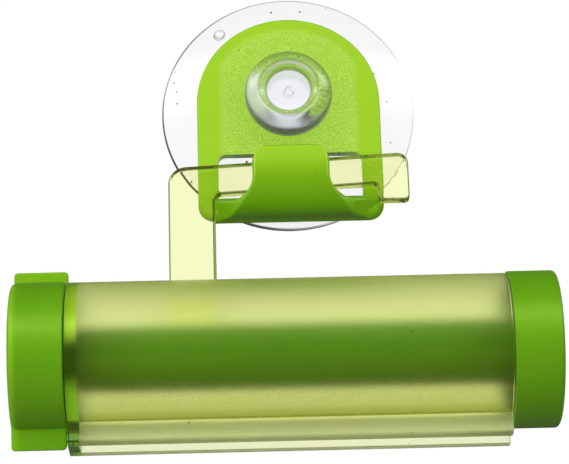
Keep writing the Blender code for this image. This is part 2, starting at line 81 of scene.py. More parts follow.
def new_material(name):
    """An empty node material and its tree."""
    made = bpy.data.materials.new(name)
    made.use_nodes = True
    made.node_tree.nodes.clear()
    return made, made.node_tree


def where_all(tree, *masks):
    """Mask that holds where all of the masks do: their product. A number among them weakens it."""
    held = masks[0]
    for mask in masks[1:]:
        held = node(tree, "Math", [held, mask], operation="MULTIPLY")
    return held


def where_any(tree, *masks):
    """Mask that holds where any of the masks does: the largest of them."""
    held = masks[0]
    for mask in masks[1:]:
        held = node(tree, "Math", [held, mask], operation="MAXIMUM")
    return held


def placed(side, rise, back, spot):
    """Matrix of an object's three axes and its place."""
    stand = np.eye(4)
    stand[:3] = np.stack([side, rise, back, spot], 1)
    return Matrix(stand.tolist())


level = np.array([np.sin(CAMERA_TURN), np.cos(CAMERA_TURN), 0])
forward = level * np.cos(CAMERA_RISE) + np.array([0, 0, np.sin(CAMERA_RISE)])
level_right = np.cross(forward, (0, 0, 1))
level_right /= np.linalg.norm(level_right)
right = np.cos(CAMERA_ROLL) * level_right + np.sin(CAMERA_ROLL) * np.cross(level_right, forward)
camera = bpy.data.objects.new("camera", bpy.data.cameras.new("camera"))
camera.data.lens = camera.data.sensor_width * FOCAL_PIXELS / FRAME_PIXELS
camera.data.clip_start = CAMERA_NEAR
scene.collection.objects.link(camera)
camera_place = CAMERA_TARGET - forward * CAMERA_DISTANCE
camera.matrix_world = placed(right, np.cross(right, forward), -forward, camera_place)
scene.camera = camera
scene.view_settings.view_transform = "Standard"

# The world is plain white to the camera. Light that has passed through clear plastic finds it
# white behind the squeezer and dim before it. Gloss finds a pale belt with a brighter strip in it,
# and matt surfaces get a weak skylight before them and a stronger one from the sweep behind them.
world = bpy.data.worlds.new("white sweep")
world.use_nodes = True
scene.world = world
tree = world.node_tree
tree.nodes.clear()
path = node(tree, "LightPath")
heading = node(tree, "TexCoord")["Generated"]
toward = node(tree, "SeparateXYZ", [heading])
behind = node(tree, "MapRange", [toward["Y"], 0.0, 0.45], **SMOOTH)
belt_low = node(tree, "MapRange", [toward["Z"], -0.5, -0.1, 0.1, 1.0], **SMOOTH)
belt_high = node(tree, "MapRange", [toward["Z"], 1.0, 0.9, 0.4, 1.0], **SMOOTH)
room = node(tree, "MapRange", [toward["Z"], -0.3, 0.6, 0.1, 0.7], **SMOOTH)
clear_view = node(tree, "Mix", [behind, room, where_all(tree, belt_low, belt_high)])
gloss_low = node(tree, "MapRange", [toward["Z"], -0.15, 0.3, 0.05, 0.8], **SMOOTH)
gloss_high = node(tree, "MapRange", [toward["Z"], 0.9, 0.5, 0.15, 1.0], **SMOOTH)
strip_low = node(tree, "MapRange", [toward["Z"], 0.4, 0.5, 0.0, 4.2], **SMOOTH)
strip_high = node(tree, "MapRange", [toward["Z"], 0.7, 0.58], **SMOOTH)
gloss = where_all(tree, gloss_low, gloss_high)
strip = node(tree, "Math", [strip_low, strip_high, gloss], operation="MULTIPLY_ADD")
away = node(tree, "MapRange", [toward["Y"], -0.3, 0.2, 1.0, 0.06], **SMOOTH)
front_sky = node(tree, "MapRange", [toward["Z"], -1.0, 1.0, 0.15, 0.26], **SMOOTH)
skylight = node(tree, "Mix", [behind, front_sky, 0.5])
ambient = node(tree, "Mix", [path["Is Glossy Ray"], skylight, where_all(tree, strip, away)])
through = node(tree, "Mix", [path["Is Transmission Ray"], ambient, clear_view])
seen = node(tree, "Mix", [path["Is Camera Ray"], through, 1.0])
sky = node(tree, "Background", {"Color": (1, 1, 1, 1), "Strength": seen})
node(tree, "OutputWorld", {"Surface": sky})

for name, place, power in (("left_softbox", (-630, -645, 90), 6.4), ("right_softbox", (662, -611, 90), 3.6)):
    lamp = bpy.data.objects.new(name, bpy.data.lights.new(name, "AREA"))
    lamp.data.shape = "DISK"
    lamp.data.size = LAMP_SIZE
    lamp.data.energy = power
    lamp.visible_transmission = lamp.visible_glossy = False
    place = np.array(place) * MM
    aim = LAMP_AIM - place
    aim /= np.linalg.norm(aim)
    side = np.cross(aim, (0, 0, 1))
    side /= np.linalg.norm(side)
    lamp.matrix_world = placed(side, np.cross(side, aim), -aim, place)
    scene.collection.objects.link(lamp)

# The floor is pale matt paper. To the camera, directly or through clear plastic, most of it is a
# glow of its own, so that it stays pale from each side and still shows a shadow.
floor_mesh = bpy.data.meshes.new("floor")
floor_mesh.from_pydata(
    [(x * FLOOR_HALF, y * FLOOR_HALF, -FLOOR_DROP) for x, y in ((-1, -1), (1, -1), (1, 1), (-1, 1))],
    [], [(0, 1, 2, 3)],
)
floor = bpy.data.objects.new("floor", floor_mesh)
scene.collection.objects.link(floor)
paper, tree = new_material("pale matt paper")
path = node(tree, "LightPath")
pale = where_any(tree, path["Is Camera Ray"], path["Is Transmission Ray"])
tone = node(tree, "Mix", [pale, "#A0A09E", "#F4F4F2"], **COLOUR)
matt = node(tree, "BsdfDiffuse", {"Color": tone})
glow = node(tree, "Emission", {"Color": tone, "Strength": FLOOR_GLOW})
sheet = node(tree, "MixShader", [where_all(tree, pale, GLOW_SHARE), matt, glow])
node(tree, "OutputMaterial", {"Surface": sheet})
floor.data.materials.append(paper)


# Suction cup. One moulding of clear soft vinyl: a thin dome, a neck that goes through the hook
# plate and a recessed mushroom head in front of it. It is colourless, the head slightly milky.

CUP_TURNS, ROUND_TURNS = 256, 256
CUP_RADIUS, RIM_THICK, SEAL_INNER = 27.5, 0.9, 24.5
DOME_INNER, DOME_REACH, DOME_FALL = 6.5, 20.9, 3.76
CAVITY_RADIUS, CAVITY_DEPTH = 24.3, 2.6
NECK_RADIUS, NECK_FOOT = 4.5, 4.7
HEAD_RADIUS, HEAD_FRONT, HEAD_BACK, HEAD_ROUND = 9.4, 14.8, 7.4, 3.0
RECESS_RADIUS, RECESS_FLOOR, MOUTH_RADIUS, MOUTH_EDGE = 4.75, 13.0, 6.25, 6.9
GATE_INNER, GATE_OUTER, GATE_RISE = 0.85, 1.15, 0.12
NUB_PLACE, NUB_RADIUS, NUB_RISE, NUB_SEAT = (-14.6, 18.9), 1.2, 0.8, 1.75


def softened(corners, steps=8):
    """Outline through rows of (a, b, radius): each corner becomes an arc that touches both its sides.
    The arc turns the spoke from its centre to the first side into the spoke to the second."""
    corners = np.array(corners, float)
    here, radius = corners[:, :2], corners[:, 2]
    to, on = np.roll(here, 1, 0) - here, np.roll(here, -1, 0) - here
    to /= np.linalg.norm(to, axis=1, keepdims=True)
    on /= np.linalg.norm(on, axis=1, keepdims=True)
    opening = np.arccos(np.clip((to * on).sum(1), -1, 1 - 1e-9))
    bend = np.maximum(np.pi - opening, 1e-6)
    middle = to + on + 1e-12
    middle /= np.linalg.norm(middle, axis=1, keepdims=True)
    centre = here + middle * (radius / np.sin(opening / 2))[:, None]
    reach = (radius / np.tan(opening / 2))[:, None]
    first, last = here + to * reach - centre, here + on * reach - centre
    share = np.linspace(0, 1, steps + 1)[None, :, None]
    bend = bend[:, None, None]
    spokes = np.sin((1 - share) * bend) * first[:, None] + np.sin(share * bend) * last[:, None]
    points = centre[:, None] + spokes / np.sin(bend)
    points = np.where(radius[:, None, None] > 0, points, here[:, None])
    return points.reshape(-1, 2)


def turned(profile, steps):
    """Grid of a profile of radius r and height h turned about its axis: (r cos t, r sin t, h)."""
    t = np.linspace(0, 2 * np.pi, steps, endpoint=False)
    r, h = profile[:, 0, None], profile[:, 1, None]
    return np.stack([r * np.cos(t), r * np.sin(t), h + 0 * t], -1)


def out_of_wall(points):
    """Height above the wall becomes -Y, in metres: (x, z, height) to (x, -height, z)."""
    return np.stack([points[..., 0], -points[..., 2], points[..., 1]], -1) * MM


def finish_shell(obj, sharp, even=True):
    """Merges doubles, turns all faces outwards, shades smooth up to an angle and evens the normals."""
    shell = bmesh.new()
    shell.from_mesh(obj.data)
    bmesh.ops.remove_doubles(shell, verts=shell.verts, dist=0.002 * MM)
    bmesh.ops.dissolve_degenerate(shell, edges=shell.edges, dist=0.001 * MM)
    bmesh.ops.recalc_face_normals(shell, faces=shell.faces)
    shell.to_mesh(obj.data)
    shell.free()
    obj.data.shade_smooth()
    obj.data.set_sharp_from_angle(angle=np.radians(sharp))
    if even:
        smoother = obj.modifiers.new("even normals", "WEIGHTED_NORMAL")
        smoother.keep_sharp = True
        smoother.weight = 80
    return obj


def skin(name, grid, capped=False, sharp=40, even=False):
    """Object from a grid of points whose rows are closed rings, each joined to the next by quads."""
    rows, columns = grid.shape[:2]
    index = np.arange(rows * columns).reshape(rows, columns)
    beside = np.roll(index, -1, axis=1)
    quads = np.stack([index[:-1], beside[:-1], beside[1:], index[1:]], -1).reshape(-1, 4).tolist()
    if capped:
        quads += [index[0].tolist(), index[-1].tolist()]
    mesh = bpy.data.meshes.new(name)
    mesh.from_pydata(grid.reshape(-1, 3).tolist(), [], quads)
    made = bpy.data.objects.new(name, mesh)
    scene.collection.objects.link(made)
    return finish_shell(made, sharp, even)


def carve(body, sharp, tools):
    """Applies the exact Booleans of (operation, tool) to body, removes the tools and shades it."""
    for operation, tool in tools:
        step = body.modifiers.new(tool.name, "BOOLEAN")
        step.operation, step.object, step.solver = operation, tool, "EXACT"
    done = bpy.data.meshes.new_from_object(body.evaluated_get(bpy.context.evaluated_depsgraph_get()))
    body.modifiers.clear()
    body.data = done
    for operation, tool in tools:
        bpy.data.objects.remove(tool)
    return finish_shell(body, sharp)


def dress(obj, material):
    """Gives all faces of an object the same material."""
    obj.data.materials.clear()
    obj.data.materials.append(material)
    obj.data.polygons.foreach_set("material_index", np.zeros(len(obj.data.polygons), int))


def dust(tree, where, spacing, size, share):
    """Mask of lone specks seen from the front: one in every cell of spacing, 0.4 to 1.4 times size wide,
    kept in a share of the cells. A fine noise bends the cells' coordinates, so the specks are ragged."""
    crumple = node(tree, "TexNoise", [where, 2200.0])["Color"]
    bent = node(tree, "VectorMath", [crumple, (0.4 * MM,) * 3, where], operation="MULTIPLY_ADD")
    spot = node(tree, "SeparateXYZ", [bent])
    flat = node(tree, "CombineXYZ", {"X": spot["X"], "Y": spot["Z"]})
    cells = node(tree, "TexVoronoi", {"Vector": flat, "Scale": 1 / (spacing * MM)}, voronoi_dimensions="2D")
    lot = node(tree, "SeparateColor", {"Color": cells["Color"]})
    reach = node(tree, "MapRange", [lot["Green"], 0.0, 1.0, 0.2 * size / spacing, 0.7 * size / spacing])
    near = node(tree, "Math", [cells["Distance"], reach], operation="LESS_THAN")
    return where_all(tree, near, node(tree, "Math", [lot["Red"], share], operation="LESS_THAN"))


share = np.linspace(0, 1, 33)
dome = np.stack([DOME_INNER + DOME_REACH * share, NECK_FOOT - DOME_FALL * share**2, 0 * share], 1)
cavity = np.stack([CAVITY_RADIUS * (1 - share), CAVITY_DEPTH * (1 - (1 - share) ** 2), 0 * share], 1)
cup_profile = softened([
    (0, RECESS_FLOOR - 0.1, 0), (0.6, RECESS_FLOOR - 0.1, 0.1),
    (GATE_INNER, RECESS_FLOOR + GATE_RISE, 0.1), (GATE_OUTER, RECESS_FLOOR + GATE_RISE, 0.1),
    (1.4, RECESS_FLOOR, 0.1), (RECESS_RADIUS, RECESS_FLOOR, 0.3),
    (5.2, RECESS_FLOOR + 0.9, 0.3), (MOUTH_RADIUS, HEAD_FRONT - 0.05, 0.25),
    (MOUTH_EDGE, HEAD_FRONT, 0.3), (HEAD_RADIUS, HEAD_FRONT - 0.7, 2.9),
    (HEAD_RADIUS, HEAD_BACK, HEAD_ROUND), (NECK_RADIUS, HEAD_BACK, 0.3), (NECK_RADIUS, NECK_FOOT, 0.8),
    *dome, (CUP_RADIUS, RIM_THICK, 0.3), (CUP_RADIUS, 0, 0.25), (SEAL_INNER, 0, 0.1), *cavity,
])
suction_cup = skin("clear_cup", out_of_wall(turned(cup_profile, CUP_TURNS)), sharp=50)
slope = np.linspace(0, np.pi / 2, 9)[1:]
lens = np.stack([NUB_RADIUS * np.cos(slope), NUB_RISE * np.sin(slope)], 1)
foot = [(0, -0.4), (NUB_RADIUS, -0.4), (NUB_RADIUS, 0)]
nub_grid = turned(np.concatenate([foot, lens]), 24) + np.array([*NUB_PLACE, NUB_SEAT])
carve(suction_cup, 50, [("UNION", skin("moulded_nub", out_of_wall(nub_grid)))])

# Clear plasticised PVC, moulded glossy: the thin dome is nearly invisible with a little dust on
# it, and the thick head scatters some light, so that it looks hazy and faintly lavender, with painted
# highlight and shade in places.
cup_vinyl, tree = new_material("clear soft vinyl")
where = node(tree, "TexCoord")["Object"]
place = node(tree, "SeparateXYZ", [where])
thick = node(tree, "MapRange", [place["Y"], -6.0 * MM, -9.5 * MM], **SMOOTH)
long_waves = node(tree, "TexNoise", [where, 260.0])
waves = node(tree, "Mix", [0.35, long_waves, node(tree, "TexNoise", [where, 1700.0, 3.0])])
wave = node(tree, "Bump", {"Height": waves, "Strength": 0.2, "Distance": 0.2 * MM})

# The rim's grey line is painted shade, stronger low on the left, a thin ring marks the nub, and the dust lies
# on the dome's outer face only.
flat_spot = node(tree, "VectorMath", [where, (1, 0, 1)], operation="MULTIPLY")
out = node(tree, "VectorMath", [flat_spot], operation="LENGTH")
to_right = node(tree, "VectorMath", [where, (0.9, 0, 0.4)], operation="DOT_PRODUCT")
painted_rim_shade = node(tree, "MapRange", [to_right, 8 * MM, -18 * MM, 0.12, 1.0], **SMOOTH)
rim = where_all(tree, node(tree, "MapRange", [out, 27.1 * MM, 27.22 * MM]), painted_rim_shade)
nub_spot = (NUB_PLACE[0] * MM, 0, NUB_PLACE[1] * MM)
from_nub = node(tree, "VectorMath", [flat_spot, nub_spot], operation="DISTANCE")
nub_ring = node(tree, "Math", [from_nub, (NUB_RADIUS - 0.1) * MM, 0.2 * MM], operation="COMPARE")
outer_face = node(tree, "Math", [out, -0.12, place["Y"]], operation="MULTIPLY_ADD")
outer_face = node(tree, "Math", [outer_face, -3.9 * MM], operation="LESS_THAN")
specks = where_all(tree, dust(tree, where, 3.1, 0.4, 0.26), outer_face)
specks = node(tree, "Math", [specks, thick], operation="SUBTRACT", use_clamp=True)

# Painted shade darkens the head where it turns away, along the recess, the mouth and the gate, and on its
# brow.
facing = node(tree, "SeparateXYZ", [node(tree, "NewGeometry")["Normal"]])
steep = node(tree, "Math", [facing["Y"]], operation="ABSOLUTE")
painted_turn_shade = node(tree, "MapRange", [steep, 0.7, 0.25, 0.0, 0.75], **SMOOTH)
ring_mask = node(tree, "MapRange", [out, 6.2 * MM, 6.9 * MM], **SMOOTH)
recess_line = where_all(tree, node(tree, "Math", [out, 4.8 * MM, 0.13 * MM], operation="COMPARE"), 0.6)
mouth_line = where_all(tree, node(tree, "Math", [out, 6.4 * MM, 0.12 * MM], operation="COMPARE"), 0.45)
from_gate = node(tree, "VectorMath", [flat_spot, (-0.1 * MM, 0, -0.8 * MM)], operation="DISTANCE")
gate = where_all(tree, node(tree, "Math", [from_gate, 1.0 * MM, 0.16 * MM], operation="COMPARE"), 0.2)
high_right = node(tree, "VectorMath", [where, (0.6, 0, 0.8)], operation="DOT_PRODUCT")
brim = node(tree, "MapRange", [out, 7.0 * MM, 9.3 * MM], **SMOOTH)
painted_brow_shade = where_all(tree, node(tree, "MapRange", [high_right, -4 * MM, 5 * MM, 0.0, 0.5], **SMOOTH), brim)
outline = where_all(tree, where_any(tree, painted_turn_shade, painted_brow_shade, recess_line, mouth_line, gate), thick)
dark = where_any(tree, rim, specks, where_all(tree, nub_ring, 0.6), outline)

# The recess is milky, painted highlights make a crescent in the mouth and the lower left cheek milky, and
# painted shade greys the chin.
low_left = node(tree, "VectorMath", [where, (-0.8, 0, -0.6)], operation="DOT_PRODUCT")
painted_cheek_highlight = where_all(tree, node(tree, "MapRange", [low_left, 1 * MM, 6 * MM, 0.0, 0.5], **SMOOTH), ring_mask)
recess = where_all(tree, node(tree, "Math", [out, RECESS_RADIUS * MM], operation="LESS_THAN"), 0.85)
crescent_end = node(tree, "MapRange", [place["Z"], 0.5 * MM, 5 * MM, 0.0, 0.5], **SMOOTH)
painted_crescent_highlight = where_all(tree, node(tree, "Math", [out, 5.95 * MM, 0.3 * MM], operation="COMPARE"), crescent_end)
milky_and_highlit = where_all(tree, where_any(tree, recess, painted_crescent_highlight, painted_cheek_highlight), thick)
painted_chin_shade = where_all(tree, node(tree, "MapRange", [place["Z"], -2.5 * MM, -7.5 * MM], **SMOOTH), ring_mask, thick)
clear = node(tree, "Mix", [painted_chin_shade, "#FEFDFE", "#C2CBD6"], **COLOUR)
clear = node(tree, "Mix", [milky_and_highlit, clear, "#E6E6F0"], **COLOUR)
vinyl = node(tree, "BsdfPrincipled", {
    "Base Color": node(tree, "Mix", [dark, clear, "#24221E"], **COLOUR),
    "Roughness": node(tree, "MapRange", [thick, 0.0, 1.0, 0.18, 0.12]),
    "Transmission Weight": node(tree, "MapRange", [milky_and_highlit, 0.0, 1.0, 0.98, 0.1]), "IOR": 1.53,
    "Specular IOR Level": 0.3, "Normal": wave,
})
absorb = node(tree, "VolumeAbsorption", {"Color": "#EFEBE6", "Density": 8.0})
node(tree, "OutputMaterial", {"Surface": vinyl, "Volume": absorb})
dress(suction_cup, cup_vinyl)
suction_cup.visible_shadow = False
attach(suction_cup, "wall_cup")
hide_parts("suction_cup")


# Hook plate. One green moulding of satin polypropylene: an arched plate with a window and a
# spark-eroded grain in its sunk panel, and a tongue that curls forward and up from its foot.

PLATE_BACK, PLATE_FRONT, PANEL_FLOOR = 5.0, 7.1, 7.05
ARCH_RADIUS, PLATE_FOOT, PLATE_CORNER = 19.8, -27.4, 3.4
PLATE_EDGE, FOOT_EDGE, FOOT_EDGE_TOP, FOOT_EDGE_FADE = 0.4, 1.5, -21.5, 5.0
STRIP, NECK_HOLE, CUTTER_OVER = 15.4, 4.8, 2
PANEL_MARGIN, PANEL_SLANT = 1.9, 1.6
WINDOW_HEAD, WINDOW_FOOT, WINDOW_CORNER = -12.2, -22.4, 1.7
TONGUE_HALF, ROOT_LEFT, ROOT_RIGHT = 7.9, 16.4, 17.4
TONGUE_HEAD, TONGUE_THICK, TONGUE_CORNER = -13.25, 2.1, 3.4
TONGUE_EDGE, TONGUE_ROUND = 0.45, 0.5
TROUGH_RADIUS, TROUGH_FLOOR = 2.65, -24.05
HEEL, HEEL_FRONT, HEEL_BACK = PLATE_FOOT + 0.25, 8.0, PLATE_BACK + 0.5
DRAFT, SPLAY = 0.4, 1.8
FLARE_START, FLARE_LENGTH, FLARE_POWER = 1.8, 11.2, 1.8
LEG_SIDE, LEG_CLEAR, LEG_FADE, LEG_FREE = -15.9, 7.5, 0.5, 4.0


def ring(radius, start, end, steps):
    """Points on a circle about the axis, from one angle to another in degrees."""
    t = np.radians(np.linspace(start, end, steps + 1))
    return np.stack([radius * np.cos(t), radius * np.sin(t)], 1)


def slab(name, outline, back, front, edge=0.0, place=out_of_wall):
    """A flat outline filled and extruded between two heights, with edges rounded by edge, then placed."""
    flat = bpy.data.curves.new(name, "CURVE")
    flat.dimensions = "2D"
    flat.fill_mode = "BOTH"
    flat.extrude = ((front - back) / 2 - edge) * MM
    flat.bevel_depth = edge * MM
    flat.bevel_resolution = 3
    flat.offset = -edge * MM
    line = flat.splines.new("POLY")
    line.points.add(len(outline) - 1)
    spread = np.column_stack([outline * MM, np.zeros(len(outline)), np.ones(len(outline))])
    line.points.foreach_set("co", spread.astype(np.float32).ravel())
    line.use_cyclic_u = True
    drawn = bpy.data.objects.new(name, flat)
    scene.collection.objects.link(drawn)
    mesh = bpy.data.meshes.new_from_object(drawn.evaluated_get(bpy.context.evaluated_depsgraph_get()))
    bpy.data.objects.remove(drawn)
    spots = np.zeros(len(mesh.vertices) * 3)
    mesh.vertices.foreach_get("co", spots)
    spots = spots.reshape(-1, 3) / MM
    spots[:, 2] += (front + back) / 2
    mesh.vertices.foreach_set("co", place(spots).ravel())
    made = bpy.data.objects.new(name, mesh)
    scene.collection.objects.link(made)
    return finish_shell(made, 30, even=False)


def plate_grid():
    """The plate's rim: its outline drawn in along its normals, by a quarter circle at each edge.
    The front edge is rounded by 0.4 mm and, in a smooth step towards the foot, by 1.9 mm."""
    arch = ring(ARCH_RADIUS, 0, 180, 160)
    foot = softened([
        (-ARCH_RADIUS, 0, 0), (-ARCH_RADIUS, PLATE_FOOT, PLATE_CORNER),
        (ARCH_RADIUS, PLATE_FOOT, PLATE_CORNER), (ARCH_RADIUS, 0, 0)
    ], 16)[17:-17]
    steps = np.linspace(0, 1, 41)[1:-1, None]
    outline = np.concatenate([
        arch, arch[-1] + (foot[0] - arch[-1]) * steps, foot[:17],
        foot[16] + (foot[17] - foot[16]) * steps, foot[17:], foot[-1] + (arch[0] - foot[-1]) * steps,
    ])
    along = np.roll(outline, -1, 0) - np.roll(outline, 1, 0)
    along /= np.linalg.norm(along, axis=1, keepdims=True)
    inward = np.stack([-along[:, 1], along[:, 0]], 1)
    low = np.clip((FOOT_EDGE_TOP - outline[:, 1]) / FOOT_EDGE_FADE, 0, 1)
    front_edge = PLATE_EDGE + FOOT_EDGE * low * low * (3 - 2 * low)
    rows = []
    for edge, top in ((PLATE_EDGE + 0 * low, False), (front_edge, True)):
        turns = np.linspace(0, np.pi / 2, 9)
        for turn in turns if top else turns[::-1]:
            inset = (edge * (1 - np.cos(turn)))[:, None]
            rise = edge * (1 - np.sin(turn))
            level = PLATE_FRONT - rise if top else PLATE_BACK + rise
            rows.append(np.column_stack([outline + inward * inset, level]))
    return np.array(rows)


def panel_ring(shrink, level):
    """The sunk panel's outline, an arc over two upright sides, drawn in by shrink."""
    side, inset = STRIP - shrink, ARCH_RADIUS - PANEL_MARGIN - shrink
    slope = np.degrees(np.arccos(side / inset))
    low = WINDOW_HEAD - 2
    outline = np.concatenate([ring(inset, slope, 180 - slope, 90), [(-side, low), (side, low)]])
    return np.column_stack([outline, np.full(len(outline), level)])


def tongue_grid():
    """The curled strip: a rounded rectangle carried round the trough's bend and up to the tongue's head.
    Its inner side is an arc and an upright, its outer side a heel and then a quarter ellipse.
    Its width grows towards the root with a power of the way, more on the trough's side, but stays
    clear of the arm's leg, and its head closes in a quarter circle at each side."""
    centre = np.array([PLATE_FRONT + TROUGH_RADIUS, TROUGH_FLOOR + TROUGH_RADIUS])
    root = np.pi + np.arcsin((centre[1] - WINDOW_FOOT + 0.5) / TROUGH_RADIUS)
    low = np.arctan2(HEEL - centre[1], HEEL_FRONT - centre[0]) + 2 * np.pi
    angle = np.concatenate([np.linspace(root, low, 17), np.linspace(low, 2 * np.pi, 49)[1:]])
    spoke = np.stack([np.cos(angle), np.sin(angle)], 1)
    inner = centre + TROUGH_RADIUS * spoke
    straight = TONGUE_HEAD - TONGUE_CORNER
    reach = np.array([centre[0] + TROUGH_RADIUS + TONGUE_THICK - HEEL_FRONT, straight - HEEL])
    offset = centre - (HEEL_FRONT, straight)
    square = (spoke**2 / reach**2).sum(1)
    half_line = (offset * spoke / reach**2).sum(1)
    rest = (offset**2 / reach**2).sum() - 1
    outer = centre + spoke * ((np.sqrt(half_line**2 - square * rest) - half_line) / square)[:, None]
    heel_share = np.clip((angle - root) / (low - root), 0, 1)
    heel_spot = np.stack([HEEL_BACK + (HEEL_FRONT - HEEL_BACK) * heel_share, HEEL + 0 * heel_share], 1)
    outer = np.where(heel_share[:, None] < 1, heel_spot, outer)
    below = (2 * np.pi - angle) * (TROUGH_RADIUS + TONGUE_THICK / 2)

    level = centre[1] + (straight - centre[1]) * np.linspace(0, 1, 15)[1:]
    inner_up = np.stack([np.full(14, inner[-1, 0]), level], 1)
    outer_up = np.stack([HEEL_FRONT + reach[0] * np.sqrt(1 - ((level - straight) / reach[1]) ** 2), level], 1)
    below = np.concatenate([below, centre[1] - level])
    flare = np.clip((below + FLARE_START) / FLARE_LENGTH, 0, 1) ** FLARE_POWER

    turn = np.pi / 2 * np.linspace(0, 1, 25)[1:] ** 0.8
    head = straight + TONGUE_CORNER * np.sin(turn)
    inset = np.clip(TONGUE_ROUND - (TONGUE_HEAD - head), 0, TONGUE_ROUND)
    shrink = TONGUE_ROUND - np.sqrt(TONGUE_ROUND**2 - inset**2)
    outer_head = np.stack([outer_up[-1, 0] - shrink, head], 1)
    inner_head = np.stack([inner[-1, 0] + shrink, head], 1)
    flare = np.concatenate([flare, 0 * turn])
    half = np.concatenate([0 * below, -TONGUE_CORNER * (1 - np.cos(turn))]) + TONGUE_HALF
    inner = np.concatenate([inner, inner_up, inner_head])
    outer = np.concatenate([outer, outer_up, outer_head])

    across = inner - outer
    thick = np.linalg.norm(across, axis=1)[:, None]
    t = np.radians(np.linspace(0, 90, 7))
    corner_angle = np.concatenate([t, t + np.pi / 2, t + np.pi, t + np.pi * 1.5])
    side = np.repeat([1, -1, -1, 1], len(t))
    face = np.repeat([1, 1, -1, -1], len(t))
    widest = np.where(side > 0, ROOT_RIGHT, ROOT_LEFT) - TONGUE_HALF
    x = side * (half[:, None] + flare[:, None] * widest - TONGUE_EDGE) + TONGUE_EDGE * np.cos(corner_angle)
    d = thick / 2 + face * (thick / 2 - TONGUE_EDGE) + TONGUE_EDGE * np.sin(corner_angle)
    x = x + side * (DRAFT + SPLAY * flare[:, None] ** 2) * d / thick
    spot = outer[:, None] + across[:, None] * (d / thick)[..., None]
    free = np.clip((LEG_CLEAR - spot[..., 0]) / LEG_FADE, 0, 1)
    x = np.maximum(x, LEG_SIDE - LEG_FREE * free)
    return np.stack([x, spot[..., 1], spot[..., 0]], -1)


hook_plate = skin("hook", out_of_wall(plate_grid()), capped=True)
window = softened([
    (-STRIP, WINDOW_FOOT, 0.01), (STRIP, WINDOW_FOOT, 0.01),
    (STRIP, WINDOW_HEAD, WINDOW_CORNER), (-STRIP, WINDOW_HEAD, WINDOW_CORNER)
])
window_cutter = slab("window_cutter", window, PLATE_BACK - CUTTER_OVER, PLATE_FRONT + CUTTER_OVER)
panel_rings = np.array([
    panel_ring(PANEL_SLANT, PANEL_FLOOR), panel_ring(0, PLATE_FRONT), panel_ring(0, PLATE_FRONT + 1)
])
panel_cutter = skin("panel_cutter", out_of_wall(panel_rings), capped=True)
neck_ring = ring(NECK_HOLE, 0, 360, 96)[:-1]
hole_cutter = slab("hole_cutter", neck_ring, PLATE_BACK - CUTTER_OVER, PLATE_FRONT + CUTTER_OVER)
tongue = skin("tongue", out_of_wall(tongue_grid()), capped=True)
carve(hook_plate, 32, [
    ("DIFFERENCE", window_cutter), ("DIFFERENCE", panel_cutter), ("DIFFERENCE", hole_cutter),
    ("UNION", tongue),
])


def satin(tree, tint, rough, relief):
    """Ends a tree with polypropylene's shader: a yellow soft gloss over the tint."""
    shader = node(tree, "BsdfPrincipled", {
        "Base Color": tint, "Roughness": rough, "IOR": 1.49, "Specular IOR Level": 0.9,
        "Specular Tint": "#F2FF84", "Normal": relief,
    })
    node(tree, "OutputMaterial", {"Surface": shader})


# Polypropylene, moulded satin: an even yellow green with soft gloss. The panel was spark eroded in
# the mould; its grain is drawn twice its real 0.1 mm so that it shows, its pale tops painted sparkle.
green_pp, tree = new_material("moulded satin polypropylene")
where = node(tree, "TexCoord")["Object"]
place = node(tree, "SeparateXYZ", [where])
front = node(tree, "MapRange", [place["Y"], -7.16 * MM, -7.1 * MM])
aside = node(tree, "Math", [place["X"]], operation="ABSOLUTE")
inside = node(tree, "MapRange", [aside, (STRIP + 0.3) * MM, (STRIP - 1.5) * MM], **SMOOTH)
flat_spot = node(tree, "VectorMath", [where, (1, 0, 1)], operation="MULTIPLY")
out = node(tree, "VectorMath", [flat_spot], operation="LENGTH")
under_arch = node(tree, "MapRange", [out, 18.2 * MM, 16.6 * MM], **SMOOTH)
upper_half = node(tree, "Math", [place["Z"], 0.0], operation="GREATER_THAN")
arch_mask = node(tree, "Mix", [upper_half, 1.0, under_arch])
lifted = node(tree, "Math", [place["Z"], WINDOW_HEAD * MM], operation="GREATER_THAN")
sunk = where_all(tree, inside, arch_mask, lifted, front)
grain = node(tree, "MapRange", [node(tree, "TexNoise", [where, 5800.0, 0.0]), 0.36, 0.72])
relief = node(tree, "Bump", {"Height": where_all(tree, grain, sunk), "Strength": 0.5, "Distance": 0.08 * MM})

# Painted shade darkens the tongue towards its foot, less at its sides, and the plate's foot, less under the
# leg; a painted highlight pales the tongue's side edges, and painted shade darkens the window's ceiling.
on_tongue = node(tree, "Math", [1.0, front], operation="SUBTRACT")
painted_deep_shade = node(tree, "MapRange", [place["Z"], -13.5 * MM, -25.0 * MM])
painted_shade_aside = node(tree, "MapRange", [aside, 11 * MM, 16 * MM, 1.0, 0.55], **SMOOTH)
painted_deep_shade = where_all(tree, painted_deep_shade, on_tongue, painted_shade_aside)
foot_shade = node(tree, "MapRange", [place["Z"], -20.0 * MM, -24.0 * MM, 0.0, 0.8], **SMOOTH)
under_leg = node(tree, "MapRange", [place["X"], -17.5 * MM, -14.5 * MM, 0.35, 1.0], **SMOOTH)
painted_deep_shade = where_any(tree, painted_deep_shade, where_all(tree, foot_shade, under_leg))
facing = node(tree, "SeparateXYZ", [node(tree, "NewGeometry")["Normal"]])
# Painted highlight: a pale line along the tongue's side edges.
sideways = node(tree, "Math", [facing["X"]], operation="ABSOLUTE")
side_edge = node(tree, "Math", [sideways, 0.5, 0.3], operation="COMPARE")
upright = node(tree, "MapRange", [place["Z"], -22.5 * MM, -18.5 * MM, 0.0, 0.45], **SMOOTH)
painted_edge_highlight = where_all(tree, side_edge, on_tongue, upright)
